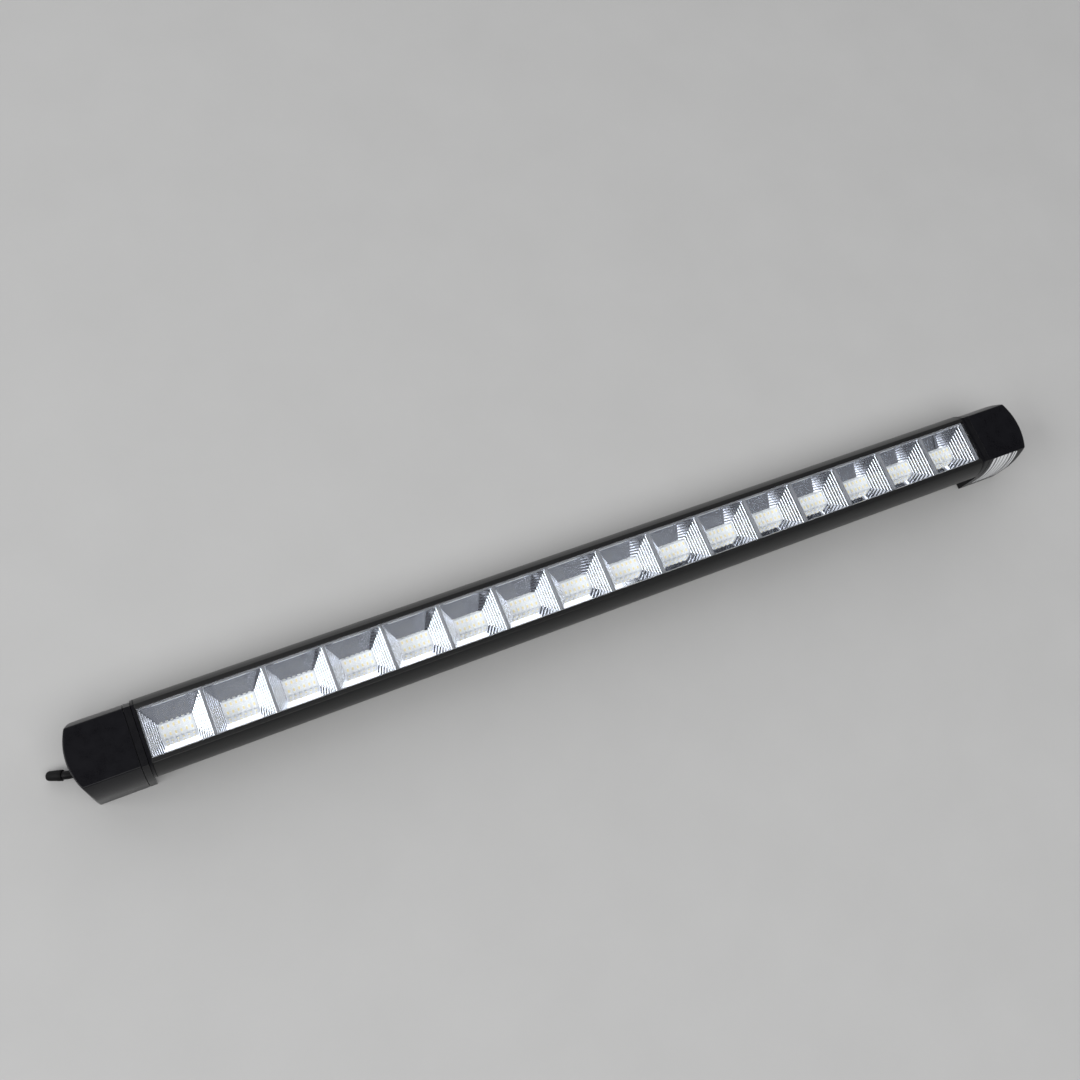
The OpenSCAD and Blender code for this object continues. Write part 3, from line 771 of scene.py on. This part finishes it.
def make_covers(plastic):
    """Both covers: the left one has the lead's hole, the right one a shallow pocket for the label."""
    left = make_piece("left_shell", cover_shell(-1), [plastic], BRACKETS, ["left_cover"])
    cut_away(left, lead_hole())
    right = make_piece("right_shell", cover_shell(1), [plastic], BRACKETS, ["right_cover"])
    pocket = label_plate(
        LABEL_LOW.x - POCKET_GAP,
        LABEL_HIGH.x + POCKET_GAP,
        LABEL_LOW.z - POCKET_GAP,
        LABEL_HIGH.z,
        corner=LABEL_CORNER_R + 0.2 * MM,
        face=1 * MM,
        back=-POCKET_DEPTH,
    )
    cut_away(right, pocket)
    for piece in (left, right):
        round_edges(piece, 0.12 * MM, angle=48)
        weighted_normals(piece)


def make_label(film):
    """The label lies in its pocket, just below the cover's surface."""
    bm = label_plate(
        LABEL_LOW.x,
        LABEL_HIGH.x,
        LABEL_LOW.z,
        LABEL_HIGH.z - POCKET_GAP,
        corner=LABEL_CORNER_R,
        face=-LABEL_SINK,
        back=-LABEL_DEPTH,
    )
    make_piece("side_label", bm, [film], BRACKETS, ["rating_label"], 50)


# Light bar


def make_tube_shell(coating):
    """Extruded housing: a D with two lips over the lens, a web and two screw ports."""
    crease = math.degrees(math.asin(FLAT_H / TUBE_R))
    lens_seat_h = FLAT_H - LIP_T
    inner_r = TUBE_R - TUBE_WALL
    inner_end = math.degrees(math.asin(lens_seat_h / inner_r))
    lip_y = LENS_HALF_W + 0.05 * MM
    outer = arc((0, AXIS_Z), TUBE_R, 180 - crease, 360 + crease, 150)
    right_lip = [(lip_y, FRONT_Z), (lip_y, AXIS_Z + lens_seat_h)]
    inner = arc((0, AXIS_Z), inner_r, 360 + inner_end, 180 - inner_end, 130)
    left_lip = [(-lip_y, AXIS_Z + lens_seat_h), (-lip_y, FRONT_Z)]
    loop = rounded(outer + right_lip + inner + left_lip, 0.45 * MM, steps=5)
    bm = bmesh.new()
    bar(bm, loop, [], edge_profile(-BAR_X, BAR_X, 0.15 * MM))
    web_top = BOARD_TOP_Z - WEB_DROP
    web_low = web_top - WEB_T
    web_half = inner_r + 0.3 * MM
    web = [(-web_half, web_low), (web_half, web_low), (web_half, web_top), (-web_half, web_top)]
    web_x = BAR_X - PLUG_DEPTH
    bar(bm, web, [], edge_profile(-web_x, web_x, 0.1 * MM))
    port_x = BAR_X - 0.02 * MM
    for side in (-1, 1):
        port = (side * PORT_Y, AXIS_Z - PORT_DROP)
        bore = circle(port, PORT_BORE_R, 32)
        bar(bm, circle(port, PORT_R, 40), [bore], edge_profile(-port_x, port_x, 0.1 * MM))
    replaced = ["housing_tube"]
    piece = make_piece("bar_housing", bm, [coating], BAR, replaced, 50)
    weighted_normals(piece)


def make_lens(clear, sealant):
    """One clear strip with a broad base under the lips, bonded in at its two ends."""
    seat = FRONT_Z - LIP_T - 0.05 * MM
    base = LENS_BASE_HALF_W - 0.1 * MM
    bottom = LENS_LOW_Z + 0.06 * MM
    loop = [
        (-base, bottom),
        (base, bottom),
        (base, seat),
        (LENS_HALF_W, seat),
        (LENS_HALF_W, LENS_TOP_Z),
        (-LENS_HALF_W, LENS_TOP_Z),
        (-LENS_HALF_W, seat),
        (-base, seat),
    ]
    bm = bmesh.new()
    bar(bm, rounded(loop, 0.22 * MM), [], edge_profile(-LENS_END_X, LENS_END_X, 0.15 * MM))
    for face in bm.faces:
        at_end = abs(face.calc_center_median().x) > LENS_END_X - 0.2 * MM
        face.material_index = 1 if at_end else 0
    piece = make_piece("lens_strip", bm, [clear, sealant], BAR, ["front_lens"], 50)
    weighted_normals(piece)


def cell_levels():
    """Stations down a cell, from its mouth to its floor: (depth, half length, half width).
    Below a straight collar each end wall comes down in rounded flutes that run across the bar."""
    depth = LENS_LOW_Z - BOARD_TOP_Z - 0.05 * MM
    lip_steps = 4
    levels = []
    for k in range(lip_steps + 1):
        turn = math.radians(90 * k / lip_steps)
        over = LIP_R * (1 - math.sin(turn))
        levels.append((LIP_R * (1 - math.cos(turn)), CELL_HALF_LEN + over, CELL_HALF_W + over))
    fall = depth - COLLAR
    run = CELL_HALF_LEN - FLOOR_HALF_LEN
    slant = math.hypot(fall, run)
    for step in range(FLUTES * FLUTE_POINTS + 1):
        t = step / (FLUTES * FLUTE_POINTS)
        along_flute = (t * FLUTES) % 1
        bulge = 4 * FLUTE_BULGE * along_flute * (1 - along_flute)
        down = COLLAR + fall * t - bulge * run / slant
        half_len = CELL_HALF_LEN - run * t - bulge * fall / slant
        half_w = CELL_HALF_W + (FLOOR_HALF_W - CELL_HALF_W) * max(0, (down - COLLAR) / fall)
        levels.append((down, half_len, half_w))
    return levels


def cell_centres(index):
    """The x of the middle of each cell of one reflector moulding."""
    x0 = -BAR_X + (index - 1) * PART_LEN
    return [x0 + (cell + 0.5) * CELL_PITCH for cell in range(CELLS_PER_PART)]


def cell_ring(x, half_len, half_w, z):
    """The rectangle of one level of a cell, with each side in six steps."""
    steps = 6
    made = []
    for ux, uy, dx, dy in ((-1, -1, 1, 0), (1, -1, 0, 1), (1, 1, -1, 0), (-1, 1, 0, -1)):
        for k in range(steps):
            t = 2 * k / steps
            made.append((x + half_len * (ux + dx * t), half_w * (uy + dy * t), z))
    return made


def reflection_grey_faces(bm):
    """Paints the flange, the lips, the dividers between cells and the collars under them a flat grey in
    place of chrome: a painted reflection that stands in for the dim tone of these metallised tops and
    keeps highlights off the lips.
    """
    for face in bm.faces:
        lowest = min(v.co.z for v in face.verts)
        off_middle = min(abs(v.co.y) for v in face.verts)
        grey_depth = COLLAR if off_middle < CELL_HALF_W - 0.1 * MM else LIP_R
        if lowest > LENS_LOW_Z - grey_depth - 0.01 * MM:
            face.material_index = 1


def make_reflector(index, chrome, reflection_grey):
    """Four fluted cells under one flange. The walls are chrome; the flange, lips and dividers get a flat
    grey, a painted reflection in place of their chrome.
    """
    x0 = -BAR_X + (index - 1) * PART_LEN
    x1 = x0 + PART_LEN
    gap = 0.05 * MM
    mouth_y = CELL_HALF_W + LIP_R
    stops = (-FLANGE_HALF_W, -mouth_y, mouth_y, FLANGE_HALF_W)
    flange = [(x0 + gap, -y) for y in stops] + [(x1 - gap, y) for y in stops]
    bm = bmesh.new()
    rim = [bm.verts.new((x, y, LENS_LOW_Z)) for x, y in flange]
    edges = [bm.edges.new((a, b)) for a, b in zip(rim, rim[1:] + rim[:1])]
    for x in cell_centres(index):
        rings = loft(bm, [cell_ring(x, hl, hw, LENS_LOW_Z - d) for d, hl, hw in cell_levels()])
        edges += ring_edges(bm, rings[0])
    bmesh.ops.triangle_fill(bm, use_beauty=True, edges=edges)
    reflection_grey_faces(bm)
    name = f"reflector_cells_{index}"
    replaced = [f"reflector_{index}"]
    piece = make_piece(name, bm, [chrome, reflection_grey], BAR, replaced, 24)
    wall = piece.modifiers.new("wall", "SOLIDIFY")
    wall.thickness = 0.5 * MM
    wall.offset = -1


def chip_body(bm, x, y):
    """A small LED on the board: white package with a slightly domed yellow window."""
    package = [(0, 1, 1), (0.66, 1, 1), (0.8, 0.93, 0.97), (0.8, 0.74, 0.52)]
    window = [(0.76, 0.70, 0.48), (0.80, 0.45, 0.34), (0.80, 0.2, 0.2)]
    rings = []
    for height, share_x, share_y in package + window:
        dx = CHIP_HALF_LEN * share_x
        dy = CHIP_HALF_W * share_y
        loop = [(x - dx, y - dy), (x + dx, y - dy), (x + dx, y + dy), (x - dx, y + dy)]
        rings.append([(*p, BOARD_TOP_Z + height * MM) for p in rounded(loop, 0.2 * MM, steps=2)])
    made = loft(bm, rings)
    bm.faces.new(made[0])
    bm.faces.new(made[-1])
    in_window = {vert for ring in made[len(package):] for vert in ring}
    for face in {face for vert in in_window for face in vert.link_faces}:
        middle = face.calc_center_median()
        face.material_index = 1 if abs(middle.x - x) < 0.7 * CHIP_HALF_LEN else 0


def make_chips(index, package, phosphor):
    """Two rows of chips in each cell."""
    bm = bmesh.new()
    for centre in cell_centres(index):
        for k in range(CHIPS_PER_ROW):
            for side in (-1, 1):
                x = centre + (k - (CHIPS_PER_ROW - 1) / 2) * CHIP_PITCH
                chip_body(bm, x, side * CHIP_ROW_Y)
    name = f"chip_rows_{index}"
    make_piece(name, bm, [package, phosphor], BAR, [f"led_chips_{index}"], 40)


# Studio


def make_floor(material):
    """A flat sheet just under the light."""
    half = 3.0
    steps = 12
    stops = [-half + 2 * half * i / steps for i in range(steps + 1)]
    bm = bmesh.new()
    loft(bm, [[(x, y, -0.1 * MM) for x in stops] for y in stops], closed=False)
    mesh = bpy.data.meshes.new("floor")
    bm.to_mesh(mesh)
    bm.free()
    mesh.materials.append(material)
    floor = bpy.data.objects.new("floor", mesh)
    bpy.context.scene.collection.objects.link(floor)


def soft_light(name, place, size, power):
    """A rectangular lamp, in watts, that faces the middle of the bar."""
    data = bpy.data.lights.new(name, "AREA")
    data.shape = "RECTANGLE"
    data.size = size[0]
    data.size_y = size[1]
    data.energy = power
    lamp = bpy.data.objects.new(name, data)
    lamp.location = place
    lamp.rotation_euler = (-Vector(place)).to_track_quat("-Z", "Y").to_euler()
    bpy.context.scene.collection.objects.link(lamp)


def make_world():
    """A dim studio, nearly black overhead. It turns grey and then bright low down beyond the far
    side of the light, and bright again low down beyond its right end."""
    world = bpy.data.worlds.new("studio")
    world.use_nodes = True
    tree = world.node_tree
    way = split(tree, node(tree, "ShaderNodeTexCoord").outputs["Generated"])
    wall = spread(tree, way["Y"], 0, 1, 0.15, 0.27)
    lower = spread(tree, way["Y"], 0, 1, 0.45, 0.75)
    end = spread(tree, way["X"], 0, 1, 0.80, 0.88)
    bright = rgb(1.2, 1.2, 1.21)
    dim = blend_colours(tree, wall, rgb(0.045, 0.045, 0.05), rgb(0.28, 0.28, 0.29))
    lit = blend_colours(tree, lower, dim, bright)
    sky = blend_colours(tree, end, lit, bright)
    tree.links.new(sky, tree.nodes["Background"].inputs["Color"])
    tree.nodes["Background"].inputs["Strength"].default_value = 1.0
    bpy.context.scene.world = world


def repaint(material, *names):
    """Gives the CAD nodes that stay a finished material."""
    for name in names:
        mesh = frame["nodes"][name].data
        mesh.materials.clear()
        mesh.materials.append(material)


# Camera, lamps and floor. A lamp has a place and a size in metres, and a power in watts.

make_camera()
make_world()
soft_light("near_side", (-0.2, -1.4, 3.1), (3.4, 2.3), 66)
soft_light("lead_side", (-3.0, 0.1, 1.9), (2.6, 1.2), 62)
bpy.context.scene.view_settings.view_transform = "Standard"
studio_floor = grained(
    "studio_floor", (0.50, 0.50, 0.495), (0.52, 0.52, 0.515), (0.75, 0.9), 3 * MM, 0.02 * MM
)
make_floor(studio_floor)


# Finishes of the outside

cover_plastic = grained(
    "cover_plastic", (0.002, 0.002, 0.0034), (0.0035, 0.0035, 0.0055), (0.24, 0.36),
    0.35 * MM, 0.008 * MM, Specular_IOR_Level=0.25,
)
bracket_plastic = grained(
    "bracket_plastic", (0.0025, 0.0025, 0.0036), (0.004, 0.004, 0.0055), (0.26, 0.40),
    0.3 * MM, 0.01 * MM, Specular_IOR_Level=0.25,
)
coating = grained(
    "satin_coating", (0.003, 0.003, 0.0032), (0.005, 0.005, 0.0052), (0.30, 0.42),
    0.25 * MM, 0.006 * MM, stretch=(0.02, 1, 1),
)
rubber = grained(
    "black_rubber", (0.0025, 0.0025, 0.0028), (0.0045, 0.0045, 0.005), (0.5, 0.7),
    0.4 * MM, 0.02 * MM, Specular_IOR_Level=0.15,
)
sheath = grained(
    "cord_sheath", (0.0025, 0.0025, 0.0028), (0.005, 0.005, 0.0055), (0.4, 0.55),
    0.5 * MM, 0.015 * MM, stretch=(0.15, 1, 1), Specular_IOR_Level=0.15,
)
# Flat grey for the reflectors' flange, lips and dividers: painted reflection, standing in for the dim
# tone of their chrome tops
reflection_grey = grained(
    "painted_reflection_grey", (0.16, 0.16, 0.17), (0.20, 0.20, 0.21), (0.25, 0.4), 0.3 * MM, 0.006 * MM
)
package = grained(
    "chip_package", (0.82, 0.82, 0.80), (0.90, 0.90, 0.88), (0.3, 0.45), 0.2 * MM, 0.004 * MM
)
chrome = chrome_material()
phosphor = phosphor_material()

# Pieces

make_lead(sheath, rubber)
make_grommet(rubber)
make_covers(cover_plastic)
make_label(label_material())
make_tube_shell(coating)
make_lens(lens_material(), rubber)
for part in range(1, PART_COUNT + 1):
    make_reflector(part, chrome, reflection_grey)
    make_chips(part, package, phosphor)

# CAD nodes that stay

repaint(bracket_plastic, "left_base", "right_base", "cable_clamp")
repaint(cover_plastic, "left_end_plug", "right_end_plug")
repaint(rubber, "left_end_gasket", "right_end_gasket")
repaint(board_material(), *[f"led_board_{part}" for part in range(1, PART_COUNT + 1)])

steel = grained(
    "zinc_steel", (0.50, 0.51, 0.53), (0.62, 0.63, 0.64), (0.22, 0.4), 0.2 * MM, 0.005 * MM, Metallic=1.0
)
repaint(steel, "cable_clamp_screws", "stop_pin", "board_jumpers")
for end in ("left", "right"):
    repaint(steel, f"{end}_end_screws", f"{end}_wave_washer", f"{end}_retaining_clip")

acetal = grained("acetal", (0.68, 0.66, 0.60), (0.74, 0.72, 0.67), (0.35, 0.5), 0.5 * MM, 0.005 * MM)
repaint(acetal, "left_pivot_bush", "right_pivot_bush")

red_core = grained(
    "core_red", (0.36, 0.02, 0.018), (0.46, 0.035, 0.03), (0.28, 0.4), 0.5 * MM, 0.005 * MM
)
repaint(red_core, "supply_cores", "input_leads")

crimp = grained(
    "crimp_sleeve", (0.42, 0.05, 0.04), (0.55, 0.08, 0.06), (0.25, 0.4), 0.5 * MM, 0.005 * MM
)
repaint(crimp, "crimp_connectors")

feed = grained(
    "feed_insulation", (0.64, 0.64, 0.62), (0.74, 0.74, 0.72), (0.35, 0.5), 0.5 * MM, 0.005 * MM
)
repaint(feed, "led_feed_leads")

laminate = grained(
    "driver_laminate", (0.02, 0.13, 0.05), (0.03, 0.19, 0.08), (0.3, 0.45), 0.4 * MM, 0.01 * MM
)
repaint(laminate, "driver_board")

epoxy = grained(
    "component_epoxy", (0.015, 0.015, 0.017), (0.03, 0.03, 0.032), (0.4, 0.6), 0.2 * MM, 0.01 * MM
)
repaint(epoxy, "driver_capacitor", "driver_chips")

winding = grained("winding", (0.08, 0.045, 0.025), (0.16, 0.09, 0.05), (0.3, 0.5), 0.3 * MM, 0.03 * MM)
repaint(winding, "driver_inductor")

terminal = grained(
    "terminal_plastic", (0.025, 0.16, 0.34), (0.035, 0.22, 0.45), (0.3, 0.42), 0.5 * MM, 0.005 * MM
)
repaint(terminal, "terminal_block")

pad = grained("thermal_pad", (0.26, 0.26, 0.29), (0.34, 0.34, 0.37), (0.7, 0.85), 0.6 * MM, 0.03 * MM)
repaint(pad, "driver_pad")
